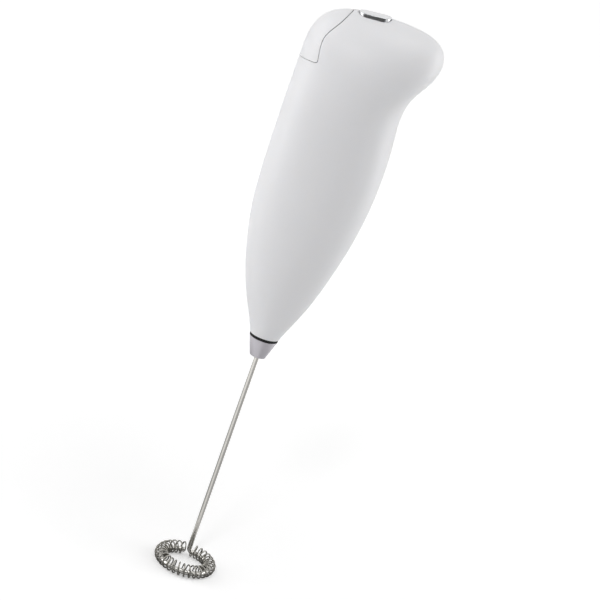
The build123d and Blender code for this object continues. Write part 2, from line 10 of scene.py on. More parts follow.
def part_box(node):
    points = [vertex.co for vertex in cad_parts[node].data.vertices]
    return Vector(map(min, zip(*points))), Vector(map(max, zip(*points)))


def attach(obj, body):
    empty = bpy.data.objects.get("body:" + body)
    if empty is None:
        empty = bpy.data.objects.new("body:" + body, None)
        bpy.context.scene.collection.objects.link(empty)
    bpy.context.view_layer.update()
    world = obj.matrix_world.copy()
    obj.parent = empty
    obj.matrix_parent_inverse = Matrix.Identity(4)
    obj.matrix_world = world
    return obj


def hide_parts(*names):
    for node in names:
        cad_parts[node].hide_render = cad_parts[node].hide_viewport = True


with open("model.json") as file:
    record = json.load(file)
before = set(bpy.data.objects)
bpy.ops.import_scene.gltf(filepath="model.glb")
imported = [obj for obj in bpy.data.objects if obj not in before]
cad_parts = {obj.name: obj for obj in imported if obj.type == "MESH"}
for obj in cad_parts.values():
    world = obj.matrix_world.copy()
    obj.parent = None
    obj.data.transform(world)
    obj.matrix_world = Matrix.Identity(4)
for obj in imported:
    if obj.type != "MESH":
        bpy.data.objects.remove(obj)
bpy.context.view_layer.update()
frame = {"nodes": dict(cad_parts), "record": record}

bl_info = {
    "name": "Milk frother",
    "version": (1, 0, 0),
    "blender": (4, 5, 0),
    "location": "View3D > Sidebar > Frother",
    "description": "Dresses the packed milk frother: handle, button, nozzle, whisk and stage",
    "category": "Object",
}

MM = 0.001
MERGE = 0.0005 * MM

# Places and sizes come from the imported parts, in metres
nozzle_low, nozzle_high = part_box("nozzle")
seal_low, seal_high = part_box("nozzle_seal")
wire_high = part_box("whisk_frame")[1]
coil_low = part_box("whisk_coil")[0]

# Small forms of the pieces
RIM_BREAK = 0.15 * MM           # broken edge round the rims of the nozzle
FLANGE_THICK = 1.0 * MM         # hidden flange of the button
STEM_NECK = 0.1 * MM            # straight part of the stem, above its rounded end
TIP_SPAN = radians(1.6)         # last stretch of the core ring, which narrows to its tip
TIP_STEPS = ((0.6, 0.85), (0.4, 0.6))    # share of that stretch, and how far the wire narrows

# How finely the curved forms are divided
PROFILE_SIDES = 96
BUTTON_SIDES = 64
WIRE_SIDES = 20
BEND_STEPS = 12
RING_STEPS = 132
COIL_SIDES = 10
COIL_STEPS = 16

# Levels of the stage under the whisk's tip: the paper, the cards on it and the card under the ring
PAPER_LEVEL = -0.05 * MM
CARD_LEVEL = -0.03 * MM
WHISK_CARD_LEVEL = -0.02 * MM


# ---- colours and shader nodes -----------------------------------------------------------
def linear(hex_colour):
    """Linear RGBA of an sRGB hex colour."""
    out = []
    for k in (1, 3, 5):
        c = int(hex_colour[k:k + 2], 16) / 255
        out.append(c / 12.92 if c <= 0.04045 else ((c + 0.055) / 1.055) ** 2.4)
    return (*out, 1.0)


def shade(colour, share):
    """The same colour, darker by that share."""
    return (*[c * (1 - share) for c in colour[:3]], 1.0)


def add_node(tree, kind, settings=None, inputs=None, links=None):
    """Adds one node, sets its properties and socket values, and links its inputs."""
    node = tree.nodes.new(kind)
    for key, value in (settings or {}).items():
        setattr(node, key, value)
    for key, value in (inputs or {}).items():
        node.inputs[key].default_value = value
    for key, source in (links or {}).items():
        tree.links.new(source, node.inputs[key])
    return node


def new_material(name):
    """A material with a bare shader, its output and its object coordinates."""
    mat = bpy.data.materials.new(name)
    mat.use_nodes = True
    tree = mat.node_tree
    tree.nodes.clear()
    shader = add_node(tree, "ShaderNodeBsdfPrincipled")
    add_node(tree, "ShaderNodeOutputMaterial", links={"Surface": shader.outputs["BSDF"]})
    where = add_node(tree, "ShaderNodeTexCoord").outputs["Object"]
    return mat, tree, shader, where


def drift(tree, where, patch_mm, low, high):
    """A soft colour drift between two close colours; patch_mm is the size of one patch."""
    noise = add_node(tree, "ShaderNodeTexNoise",
                     inputs={"Scale": 1 / (patch_mm * MM), "Detail": 3.0}, links={"Vector": where})
    mix = add_node(tree, "ShaderNodeMix", {"data_type": "RGBA"}, {6: low, 7: high},
                   {0: noise.outputs["Fac"]})
    return mix.outputs[2]


def uneven_gloss(tree, where, patch_mm, low, high):
    """Roughness that drifts over the surface, as handling and moulding leave it."""
    noise = add_node(tree, "ShaderNodeTexNoise",
                     inputs={"Scale": 1 / (patch_mm * MM), "Detail": 2.0}, links={"Vector": where})
    span = add_node(tree, "ShaderNodeMapRange", inputs={"To Min": low, "To Max": high},
                    links={"Value": noise.outputs["Fac"]})
    return span.outputs["Result"]


def grain(tree, where, grain_mm, strength, deep_mm, stretch=(1, 1, 1)):
    """A bump of fine grain, drawn out along an axis by a small stretch on it."""
    spread = add_node(tree, "ShaderNodeMapping", inputs={"Scale": stretch}, links={"Vector": where})
    noise = add_node(tree, "ShaderNodeTexNoise", inputs={"Scale": 1 / (grain_mm * MM), "Detail": 2.0},
                     links={"Vector": spread.outputs["Vector"]})
    bump = add_node(tree, "ShaderNodeBump", inputs={"Strength": strength, "Distance": deep_mm * MM},
                    links={"Height": noise.outputs["Fac"]})
    return bump.outputs["Normal"]


def plastic(name, colour, rough, grain_mm, bump, patch_mm=9.0, uneven=0.03, glow_mm=0.0):
    """Moulded plastic: even colour with a slight drift, fine spark-eroded grain, soft gloss."""
    mat, tree, shader, where = new_material(name)
    tree.links.new(drift(tree, where, patch_mm, shade(colour, uneven), colour),
                   shader.inputs["Base Color"])
    tree.links.new(uneven_gloss(tree, where, patch_mm / 2, rough - 0.04, rough + 0.04),
                   shader.inputs["Roughness"])
    tree.links.new(grain(tree, where, grain_mm, bump, 0.02), shader.inputs["Normal"])
    shader.inputs["IOR"].default_value = 1.49
    if glow_mm:
        shader.inputs["Subsurface Weight"].default_value = 0.15
        shader.inputs["Subsurface Radius"].default_value = (1.0, 0.95, 0.9)
        shader.inputs["Subsurface Scale"].default_value = glow_mm * MM
    return mat


def metal(name, colour, rough, grain_mm, bump, stretch=(1, 1, 1), patch_mm=3.0, uneven=0.08,
          metallic=1.0):
    """Bare or plated metal, or a lacquer of metal flakes, with fine drawing or rolling marks."""
    mat, tree, shader, where = new_material(name)
    tree.links.new(drift(tree, where, patch_mm, shade(colour, uneven), colour),
                   shader.inputs["Base Color"])
    tree.links.new(uneven_gloss(tree, where, patch_mm / 2, rough * 0.8, rough * 1.2),
                   shader.inputs["Roughness"])
    tree.links.new(grain(tree, where, grain_mm, bump, 0.01, stretch), shader.inputs["Normal"])
    shader.inputs["Metallic"].default_value = metallic
    return mat


def handle_plastic(name, colour, parted):
    """Soft white ABS. The two halves meet in a hairline along the middle plane, Y = 0."""
    mat, tree, shader, where = new_material(name)
    tone = drift(tree, where, patch_mm=14.0, low=shade(colour, 0.02), high=colour)
    fine = grain(tree, where, grain_mm=0.35, strength=0.06, deep_mm=0.02)
    if parted:
        axes = add_node(tree, "ShaderNodeSeparateXYZ", links={"Vector": where})
        off = add_node(tree, "ShaderNodeMath", {"operation": "ABSOLUTE"}, links={0: axes.outputs["Y"]})
        # the joint is dark to 0.04 mm from the middle plane and fades out by 0.12 mm
        open_share = add_node(tree, "ShaderNodeMapRange", {"interpolation_type": "SMOOTHSTEP"},
                              {"From Min": 0.04 * MM, "From Max": 0.12 * MM, "To Min": 0.0, "To Max": 1.0},
                              {"Value": off.outputs[0]})
        tone = add_node(tree, "ShaderNodeMix", {"data_type": "RGBA"}, {6: shade(colour, 0.45)},
                        {0: open_share.outputs["Result"], 7: tone}).outputs[2]
        fine = add_node(tree, "ShaderNodeBump", inputs={"Strength": 0.6, "Distance": 0.1 * MM},
                        links={"Height": open_share.outputs["Result"], "Normal": fine}).outputs["Normal"]
    tree.links.new(tone, shader.inputs["Base Color"])
    gloss = uneven_gloss(tree, where, patch_mm=8.0, low=0.4, high=0.5)
    tree.links.new(gloss, shader.inputs["Roughness"])
    tree.links.new(fine, shader.inputs["Normal"])
    shader.inputs["IOR"].default_value = 1.5
    shader.inputs["Subsurface Weight"].default_value = 0.6
    shader.inputs["Subsurface Radius"].default_value = (1.0, 0.95, 0.9)
    shader.inputs["Subsurface Scale"].default_value = 1.0 * MM
    return mat


def make_finishes(s):
    """Every finish of the frother, by the name of the record's slot that it belongs to.
    The numbers after a colour are its roughness, the size of its grain in mm and its bump."""
    return {
        # ABS moulded in a finely etched tool: milky white, satin, no grain at arm's length
        "handle_white": handle_plastic("moulded_white_abs", s.handle_colour, True),
        # ABS under a satin silver lacquer: soft wide highlights with a lilac cast
        "nozzle_silver": metal("satin_silver_lacquer", s.nozzle_colour, 0.42, 0.25, 0.08,
                               metallic=0.5),
        # nitrile rubber: black and matt
        "seal_rubber": plastic("black_nitrile_rubber", linear("#0B0B0C"), 0.8, 0.2, 0.2),
        # ABS plated with copper, nickel and chromium: mirror bright, faint orange peel
        "button_chrome": metal("bright_chrome_plate", s.button_colour, 0.2, 1.2, 0.02),
        # stainless spring wire: bright, with draw marks along it
        "whisk_steel": metal("drawn_stainless_wire", s.wire_colour, 0.22, 0.15, 0.15, (1, 1, 0.1)),
        # the coil's thinner spring wire: the same steel, its colour darkened as painted shade for the shade
        # and dark reflections among its close turns
        "spring_wire": metal("spring_wire_painted_shade", s.coil_shaded_colour, 0.28, 0.12, 0.2, (1, 1, 0.1)),
        "shaft_steel": metal("ground_steel_rod", linear("#C6C6C8"), 0.2, 0.1, 0.1),
        "screw_steel": metal("zinc_plated_steel", linear("#B9BCC0"), 0.3, 0.2, 0.15),
        "motor_steel": metal("nickel_plated_drawn_steel", linear("#C0C0C2"), 0.3, 0.3, 0.1),
        # stamped sheets in a stack: the edges show as fine rings
        "core_steel": metal("laminated_silicon_steel", linear("#86868A"), 0.45, 0.35, 0.5, (0.05, 0.05, 1)),
        "magnet_ferrite": plastic("sintered_ferrite", linear("#38383A"), 0.7, 0.25, 0.4),
        # oil-filled and porous: dull gold with open grain
        "bush_bronze": metal("sintered_bronze", linear("#BB914F"), 0.45, 0.12, 0.4),
        "winding_copper": metal("enamelled_copper_wire", linear("#B4541F"), 0.28, 0.3, 0.6, (1, 1, 0.1)),
        "contact_copper": metal("rolled_phosphor_bronze", linear("#CF9064"), 0.3, 0.2, 0.15, (0.1, 1, 1)),
        "contact_nickel": metal("nickel_plated_strip", linear("#CBC8BF"), 0.25, 0.2, 0.15, (0.1, 1, 1)),
        "motor_nylon": plastic("moulded_natural_nylon", linear("#E4E1D8"), 0.45, 0.3, 0.1, glow_mm=0.8),
        "coupling_nylon": plastic("turned_natural_nylon", linear("#E2DED4"), 0.4, 0.25, 0.15, glow_mm=0.8),
        "cradle_plastic": plastic("moulded_black_abs", linear("#1B1B1C"), 0.5, 0.3, 0.2),
        "lead_black": plastic("black_pvc_insulation", linear("#161617"), 0.45, 0.2, 0.1),
        "lead_red": plastic("red_pvc_insulation", linear("#A31A17"), 0.45, 0.2, 0.1),
        "lead_white": plastic("white_pvc_insulation", linear("#E2E1DD"), 0.45, 0.2, 0.1),
        "cell_sleeve": plastic("grey_shrink_film", linear("#33363B"), 0.28, 0.5, 0.05),
    }


FINISH = {}


# ---- modelling steps ----------------------------------------------------------------------
def start_fresh():
    """Leaves edit mode with nothing selected."""
    if bpy.context.mode != "OBJECT":
        bpy.ops.object.mode_set(mode="OBJECT")
    bpy.ops.object.select_all(action="DESELECT")


def take(obj):
    """Leaves only this piece selected, and active."""
    start_fresh()
    obj.select_set(True)
    bpy.context.view_layer.objects.active = obj


def pick(obj, test):
    """Selects, in edit mode, the vertices whose place passes the test."""
    mesh = bmesh.from_edit_mesh(obj.data)
    for part in (*mesh.faces, *mesh.edges, *mesh.verts):
        part.select = False
    mesh.select_mode = {"VERT"}
    for v in mesh.verts:
        v.select = test(v.co)
    mesh.select_flush_mode()
    bmesh.update_edit_mesh(obj.data)


def step_ring(rise, grow, centre):
    """Extrudes the selected ring upwards and scales it about its new centre."""
    bpy.ops.mesh.extrude_region_move(TRANSFORM_OT_translate={"value": (0, 0, rise)})
    bpy.ops.transform.resize(value=(grow, grow, 1), center_override=centre)


def turn_profile(name, profile, sides=PROFILE_SIDES, ring=False):
    """Turns a profile of (radius, height) in metres about Z. A ring's last point meets its first."""
    start_fresh()
    r, z = profile[0]
    bpy.ops.mesh.primitive_circle_add(vertices=sides, radius=r, location=(0, 0, z))
    obj = bpy.context.object
    obj.name = name
    bpy.ops.object.transform_apply(location=True)
    bpy.ops.object.mode_set(mode="EDIT")
    bpy.ops.mesh.select_all(action="SELECT")
    if not ring:
        bpy.ops.mesh.edge_face_add()
        pick(obj, lambda co: True)
    for new_r, new_z in profile[1:] + (profile[:1] if ring else []):
        step_ring(new_z - z, new_r / r, (0, 0, new_z))
        r, z = new_r, new_z
    close_mesh()
    return obj


def close_mesh():
    """Merges doubles and turns every face outwards."""
    bpy.ops.mesh.select_all(action="SELECT")
    bpy.ops.mesh.remove_doubles(threshold=MERGE)
    bpy.ops.mesh.normals_make_consistent(inside=False)
    bpy.ops.object.mode_set(mode="OBJECT")


def seat(obj, name, body, slot, *nodes, smooth=35, finish=None):
    """Applies what is live on a piece, then names, smooths, finishes and seats it."""
    take(obj)
    for mod in list(obj.modifiers):
        bpy.ops.object.modifier_apply(modifier=mod.name)
    bpy.ops.object.transform_apply(location=True, rotation=True, scale=True)
    bpy.ops.object.shade_smooth_by_angle(angle=radians(smooth))
    obj.name = name
    obj.data.name = name
    obj.data.materials.clear()
    obj.data.materials.append(FINISH[finish or slot])
    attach(obj, body)
    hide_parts(*nodes)


def arc(centre, radius, start, end, steps):
    """Points of a rounded corner in a profile, by degrees from the outward direction."""
    points = []
    for i in range(steps + 1):
        a = radians(start + (end - start) * i / steps)
        points.append((centre[0] + radius * cos(a), centre[1] + radius * sin(a)))
    return points


# ---- sizes and colours that a user would change -----------------------------------------------
class FrotherFinishes(bpy.types.PropertyGroup):
    """Colours of the pieces in view"""
    handle_colour: FloatVectorProperty(name="Handle", description="Colour of the moulded shells",
                                       subtype="COLOR", size=4, min=0, max=1, default=linear("#EFEFF1"))
    nozzle_colour: FloatVectorProperty(name="Nozzle", description="Colour of the nozzle's lacquer",
                                       subtype="COLOR", size=4, min=0, max=1, default=linear("#C6C3C9"))
    button_colour: FloatVectorProperty(name="Button", description="Colour of the button's plating",
                                       subtype="COLOR", size=4, min=0, max=1, default=linear("#CDCED0"))
    wire_colour: FloatVectorProperty(name="Whisk wire", description="Colour of the whisk's steel",
                                     subtype="COLOR", size=4, min=0, max=1, default=linear("#CFCDC8"))
    # painted shade: darker than the whisk wire's steel, for the shade and dark reflections among the coil's
    # turns
    coil_shaded_colour: FloatVectorProperty(name="Coil wire", description="Colour of the coil's spring wire",
                                       subtype="COLOR", size=4, min=0, max=1, default=linear("#8E8C86"))


class FrotherNozzle(bpy.types.PropertyGroup):
    """Sizes of the nozzle and its seal"""
    tip_radius: FloatProperty(name="Tip radius", description="Radius of the nozzle's underside",
                              default=3.05 * MM, unit="LENGTH", precision=5)
    mouth_radius: FloatProperty(name="Mouth radius", description="Radius of the hole for the wire",
                                default=1.4 * MM, unit="LENGTH", precision=5)
    socket_radius: FloatProperty(name="Socket radius", description="Radius that fits over the neck",
                                 default=3.25 * MM, unit="LENGTH", precision=5)
    socket_depth: FloatProperty(name="Socket depth", description="Depth of the neck's socket",
                                default=2.65 * MM, unit="LENGTH", precision=5)
    bush_radius: FloatProperty(name="Bush radius", description="Radius of the seat of the bush",
                               default=2.0 * MM, unit="LENGTH", precision=5)
    lip: FloatProperty(name="Lip", description="Thickness under the bush",
                       default=0.8 * MM, unit="LENGTH", precision=5)
    edge: FloatProperty(name="Edge", description="Rounding of the lower edge",
                        default=0.4 * MM, unit="LENGTH", precision=5)
    seal_edge: FloatProperty(name="Seal edge", description="Rounding of the seal's rims",
                             default=0.1 * MM, unit="LENGTH", precision=5)


class FrotherButton(bpy.types.PropertyGroup):
    """Sizes and place of the power button"""
    length: FloatProperty(name="Length", description="Length of the button's top",
                          default=11.3 * MM, unit="LENGTH", precision=5)
    width: FloatProperty(name="Width", description="Width of the button's top",
                         default=11.0 * MM, unit="LENGTH", precision=5)
    corner: FloatProperty(name="Corner", description="Radius of the corners, seen from above",
                          default=3.4 * MM, unit="LENGTH", precision=5)
    tilt: FloatProperty(name="Tilt", description="How far the button leans with the crown",
                        default=radians(6.0), unit="ROTATION")
    across: FloatProperty(name="Across", description="Button's axis from the spin axis",
                          default=-0.75 * MM, unit="LENGTH", precision=5)
    edge: FloatProperty(name="Edge", description="Rounding of the top edge",
                        default=0.25 * MM, unit="LENGTH", precision=5)
    crown: FloatProperty(name="Crown", description="How far the top falls from its middle to its edge",
                         default=0.12 * MM, unit="LENGTH", precision=5)
    skirt: FloatProperty(name="Skirt", description="Depth of the side wall",
                         default=3.5 * MM, unit="LENGTH", precision=5)
    flange: FloatProperty(name="Flange", description="How far the hidden flange stands out",
                          default=0.9 * MM, unit="LENGTH", precision=5)
    packed_edge: FloatProperty(name="Packed edge", description="Edge radius of the packed button",
                               default=0.6 * MM, unit="LENGTH", precision=5)
    stem_radius: FloatProperty(name="Stem radius", description="Radius of the stem on the switch",
                               default=1.4 * MM, unit="LENGTH", precision=5)


class FrotherWhisk(bpy.types.PropertyGroup):
    """Sizes of the core ring and its coil"""
    wire_radius: FloatProperty(name="Wire radius", description="Radius of the shaft and of the core ring",
                               default=0.9 * MM, unit="LENGTH", precision=5)
    bend_radius: FloatProperty(name="Bend radius", description="Bend from the shaft into the ring",
                               default=1.5 * MM, unit="LENGTH", precision=5)
    core_end: FloatProperty(name="Core end", description="Where the ring stops, round from the shaft",
                            default=radians(352.0), unit="ROTATION")
    coil_radius: FloatProperty(name="Coil radius", description="Outer radius of the coil",
                               default=2.5 * MM, unit="LENGTH", precision=5)
    coil_wire: FloatProperty(name="Coil wire", description="Radius of the coil's wire",
                             default=0.275 * MM, unit="LENGTH", precision=5)
    coil_seat: FloatProperty(name="Seat", description="Gap between the core and the coil below it",
                             default=0.3 * MM, unit="LENGTH", precision=5)
    turns: IntProperty(name="Turns", description="Turns of the coil", default=30, min=8, max=80)
    phase: FloatProperty(name="Phase", description="Part of a turn at which the wire starts", default=0.5)
    coil_start: FloatProperty(name="Coil start", description="Start of the coil, round from the shaft",
                              default=radians(7.0), unit="ROTATION")
    coil_end: FloatProperty(name="Coil end", description="End of the coil, round from the shaft",
                            default=radians(350.5), unit="ROTATION")


class FrotherStage(bpy.types.PropertyGroup):
    """Camera, floor and fill light"""
    camera_place: FloatVectorProperty(name="Camera", description="Place of the camera",
                                      subtype="TRANSLATION", unit="LENGTH", size=3,
                                      default=(0.0078, -0.6478, 0.2993))
    camera_pitch: FloatProperty(name="Pitch", description="How far the camera looks down",
                                default=radians(16.39), unit="ROTATION")
    camera_roll: FloatProperty(name="Roll", description="How far the camera leans about its view",
                               default=radians(19.66), unit="ROTATION")
    camera_lens: FloatProperty(name="Lens", description="Focal length on a 36 mm wide sensor",
                               default=112.8, unit="CAMERA")
    floor_size: FloatProperty(name="Floor", description="Side of the floor", default=8.0, unit="LENGTH")
    fill: FloatProperty(name="Fill", description="Strength of the even light all round", default=0.27)


class FrotherSettings(bpy.types.PropertyGroup):
    """Every setting of the frother"""
    finishes: PointerProperty(type=FrotherFinishes, name="Finishes", description="Colours")
    nozzle: PointerProperty(type=FrotherNozzle, name="Nozzle", description="Sizes of the nozzle")
    button: PointerProperty(type=FrotherButton, name="Button", description="Sizes of the button")
    whisk: PointerProperty(type=FrotherWhisk, name="Whisk", description="Sizes of the whisk")
    stage: PointerProperty(type=FrotherStage, name="Stage", description="Camera, floor and fill light")


# ---- stage ------------------------------------------------------------------------------------
def soft_lamp(name, power, size, place, target):
    """A rectangular lamp behind a diffuser; sizes and places in metres."""
    start_fresh()
    bpy.ops.object.light_add(type="AREA", location=place)
    lamp = bpy.context.object
    lamp.name = name
    lamp.data.shape = "RECTANGLE"
    lamp.data.size, lamp.data.size_y = size
    lamp.data.energy = power
    aim = Vector(target) - Vector(place)
    lamp.rotation_euler = aim.to_track_quat("-Z", "Y").to_euler()


def direct_view(tree):
    """1 where the eye, a mirror or a glass sees the surface, 0 where it only lights others."""
    path = add_node(tree, "ShaderNodeLightPath")
    seen = add_node(tree, "ShaderNodeMath", {"operation": "MAXIMUM"},
                    links={0: path.outputs["Is Camera Ray"], 1: path.outputs["Is Glossy Ray"]})
    seen = add_node(tree, "ShaderNodeMath", {"operation": "MAXIMUM"},
                    links={0: seen.outputs[0], 1: path.outputs["Is Transmission Ray"]})
    return seen.outputs[0]


def make_surroundings(fill):
    """Even light all round; where it is looked at it is plain white."""
    world = bpy.data.worlds.new("white_studio")
    bpy.context.scene.world = world
    world.use_nodes = True
    tree = world.node_tree
    tree.nodes.clear()
    dim = add_node(tree, "ShaderNodeBackground", inputs={"Color": (1, 1, 1, 1), "Strength": fill})
    white = add_node(tree, "ShaderNodeBackground", inputs={"Color": (1, 1, 1, 1), "Strength": 1.0})
    mix = add_node(tree, "ShaderNodeMixShader",
                   links={0: direct_view(tree), 1: dim.outputs[0], 2: white.outputs[0]})
    add_node(tree, "ShaderNodeOutputWorld", links={"Surface": mix.outputs[0]})


def make_floor(size):
    """White paper just under the whisk. Where it is looked at, part of its brightness is its own:
    less of it near the whisk, so the paper reads as white and still takes a soft shadow."""
    start_fresh()
    bpy.ops.mesh.primitive_plane_add(size=size, location=(0, 0, PAPER_LEVEL))
    floor = bpy.context.object
    floor.name = "floor"
    mat, tree, shader, where = new_material("white_paper")
    fibres = drift(tree, where, patch_mm=2.0, low=linear("#F4F4F4"), high=linear("#F6F6F6"))
    tree.links.new(fibres, shader.inputs["Base Color"])
    shader.inputs["Roughness"].default_value = 0.9
    shader.inputs["Specular IOR Level"].default_value = 0.1
    shader.inputs["Emission Color"].default_value = (1, 1, 1, 1)
    reach = add_node(tree, "ShaderNodeVectorMath", {"operation": "LENGTH"}, links={0: where})
    own = add_node(tree, "ShaderNodeMapRange", {"interpolation_type": "SMOOTHSTEP"},
                   {"From Min": 0.04, "From Max": 0.6, "To Min": 0.3, "To Max": 0.75},
                   {"Value": reach.outputs["Value"]})
    lift = add_node(tree, "ShaderNodeMath", {"operation": "MULTIPLY"},
                    links={0: direct_view(tree), 1: own.outputs["Result"]})
    tree.links.new(lift.outputs[0], shader.inputs["Emission Strength"])
    floor.data.materials.append(mat)


def mirror_card(name, tone, size, place, turn=(0, 0, 0)):
    """A grey card that only mirrors see: it gives steel, chrome and lacquer their darker bands."""
    start_fresh()
    bpy.ops.mesh.primitive_plane_add(size=1, location=place, rotation=turn)
    card = bpy.context.object
    card.name = name
    card.scale = (size[0], size[1], 1)
    bpy.ops.object.transform_apply(location=False, rotation=False, scale=True)
    mat, tree, shader, where = new_material(name + "_flock")
    felt = drift(tree, where, patch_mm=20.0, low=shade(linear(tone), 0.1), high=linear(tone))
    tree.links.new(felt, shader.inputs["Base Color"])
    shader.inputs["Roughness"].default_value = 1.0
    card.data.materials.append(mat)
    card.visible_camera = card.visible_diffuse = card.visible_shadow = False


def make_camera(s):
    """Looks level along +Y, tipped down by the pitch and then leant by the roll."""
    side = Vector((1, 0, 0))
    rise = Vector((0, sin(s.camera_pitch), cos(s.camera_pitch)))
    back = Vector((0, -cos(s.camera_pitch), sin(s.camera_pitch)))
    right = side * cos(s.camera_roll) + rise * sin(s.camera_roll)
    up = rise * cos(s.camera_roll) - side * sin(s.camera_roll)
    start_fresh()
    bpy.ops.object.camera_add(location=s.camera_place)
    camera = bpy.context.object
    camera.rotation_euler = Matrix((right, up, back)).transposed().to_euler()
    camera.data.sensor_width = 36.0
    camera.data.lens = s.camera_lens
    camera.data.clip_start = 0.01
    bpy.context.scene.camera = camera


class FROTHER_OT_stage(bpy.types.Operator):
    """Adds the camera, the paper, the even light, the soft lamps and the cards that metal mirrors"""
    bl_idname = "frother.stage"
    bl_label = "Stage"

    def execute(self, context):
        s = context.scene.frother.stage
        context.scene.view_settings.view_transform = "Standard"
        make_camera(s)
        make_floor(s.floor_size)
        make_surroundings(s.fill)
        handle_middle = (0, 0, 0.14)
        head = (0, 0, 0.2)
        whisk_tip = (0, 0, 0)
        # name, power in watts, width and height, place, and what the lamp is aimed at, in metres
        soft_lamp("left_lamp", 2.7, (0.5, 0.8), (-0.78, -0.05, 0.35), handle_middle)
        soft_lamp("right_lamp", 3.3, (0.5, 0.8), (0.8, 0.3, 0.35), handle_middle)
        soft_lamp("top_lamp", 1.6, (0.5, 0.5), (0.15, -0.1, 0.95), head)
        soft_lamp("shadow_lamp", 1.2, (0.12, 0.12), (-0.16, -0.6, 0.5), whisk_tip)
        # three cards lie just over the paper; the front card stands before the object, unseen by the camera
        mirror_card("right_card", "#D4D4D4", (0.3, 0.4), (0.18, -0.1, CARD_LEVEL))
        mirror_card("left_card", "#CDCDCD", (0.2, 0.2), (-0.13, 0.06, CARD_LEVEL))
        mirror_card("whisk_card", "#D0D0D0", (0.042, 0.042), (0.002, -0.009, WHISK_CARD_LEVEL))
        mirror_card("front_card", "#626262", (1.4, 0.46), (0, -0.45, 0.26), (pi / 2, 0, 0))
        return {"FINISHED"}


# ---- handle and inner parts ---------------------------------------------------------------------
class FROTHER_OT_carried_parts(bpy.types.Operator):
    """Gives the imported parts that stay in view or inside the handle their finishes"""
    bl_idname = "frother.carried_parts"
    bl_label = "Handle and inner parts"

    def execute(self, context):
        cap = handle_plastic("moulded_white_abs_cap", context.scene.frother.finishes.handle_colour, False)
        for row in frame["record"]["subparts"]:
            part = frame["nodes"][row["node"]]
            part.data.materials.clear()
            part.data.materials.append(FINISH[row["material_slot"]])
        cover = frame["nodes"]["battery_cap"]
        cover.data.materials[0] = cap
        return {"FINISHED"}


# ---- nozzle and seal ------------------------------------------------------------------------------
class FROTHER_OT_nozzle(bpy.types.Operator):
    """Turns the silver nozzle with its socket, bush seat and rounded lower edge"""
    bl_idname = "frother.nozzle"
    bl_label = "Nozzle"

    def execute(self, context):
        s = context.scene.frother.nozzle
        low, top = nozzle_low.z, nozzle_high.z
        wide = nozzle_high.x
        fine = RIM_BREAK
        profile = [(s.mouth_radius, low + s.lip), (s.mouth_radius, low + fine)]
        profile += [(s.mouth_radius + fine, low)]
        profile += arc((s.tip_radius - s.edge, low + s.edge), s.edge, -90, 0, 6)
        profile += arc((wide - fine, top - fine), fine, 0, 90, 3)
        profile += [(s.socket_radius + fine, top), (s.socket_radius, top - fine)]
        profile += [(s.socket_radius, top - s.socket_depth), (s.bush_radius, top - s.socket_depth)]
        profile += [(s.bush_radius, low + s.lip)]
        nozzle = turn_profile("nozzle_cone", profile, ring=True)
        seat(nozzle, "nozzle_cone", "handle", "nozzle_silver", "nozzle")
        return {"FINISHED"}


class FROTHER_OT_seal(bpy.types.Operator):
    """Turns the black seal between the nozzle and the handle"""
    bl_idname = "frother.seal"
    bl_label = "Seal"

    def execute(self, context):
        s = context.scene.frother.nozzle
        low, top, wide = seal_low.z, seal_high.z, seal_high.x
        r = s.seal_edge
        profile = [(s.socket_radius, low), (wide - r, low)]
        profile += arc((wide - r, low + r), r, -90, 0, 4)
        profile += arc((wide - r, top - r), r, 0, 90, 4)
        profile += [(s.socket_radius, top)]
        ring = turn_profile("seal_ring", profile, ring=True)
        seat(ring, "seal_ring", "handle", "seal_rubber", "nozzle_seal")
        return {"FINISHED"}


# ---- button ---------------------------------------------------------------------------------------
class FROTHER_OT_button(bpy.types.Operator):
    """Turns the round form of the button, then draws its quarters apart into an oblong"""
    bl_idname = "frother.button"
    bl_label = "Power button"

    def execute(self, context):
        s = context.scene.frother.button
        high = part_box("power_button")[1]
        r = s.corner
        flat = r - s.edge
        profile = [(flat * k, -s.crown * k * k) for k in (0.05, 0.3, 0.55, 0.75, 0.9)]
        profile += arc((flat, -s.edge - s.crown), s.edge, 90, 0, 6)
        flange_low = -s.skirt - FLANGE_THICK
        profile += [(r, -s.skirt), (r + s.flange, -s.skirt), (r + s.flange, flange_low)]
        ball = flange_low - STEM_NECK
        profile += [(s.stem_radius, flange_low)] + arc((0, ball), s.stem_radius, 0, -80, 6)
        body = turn_profile("button_cap", profile, sides=BUTTON_SIDES)
        top_half = flange_low - MERGE
        bpy.ops.object.mode_set(mode="EDIT")
        for axis, pull in ((0, s.length / 2 - r), (1, s.width / 2 - r)):
            for way in (1, -1):
                pick(body, lambda co: co[axis] * way > MERGE and co.z > top_half
                     and (co.z > flange_low / 2 or hypot(co.x, co.y) > s.stem_radius + MERGE))
                shift = Vector((0, 0, 0))
                shift[axis] = way * pull
                bpy.ops.transform.translate(value=shift)
        bpy.ops.object.mode_set(mode="OBJECT")
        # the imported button's rounded edge keeps its highest point under its sharp corner
        rounded_off = s.packed_edge * (sin(s.tilt) + cos(s.tilt) - 1)
        centre_z = high.z - s.length / 2 * sin(s.tilt) + rounded_off
        body.rotation_euler = (0, -s.tilt, 0)
        body.location = (s.across, 0, centre_z)
        seat(body, "button_cap", "button", "button_chrome", "power_button", smooth=40)
        return {"FINISHED"}


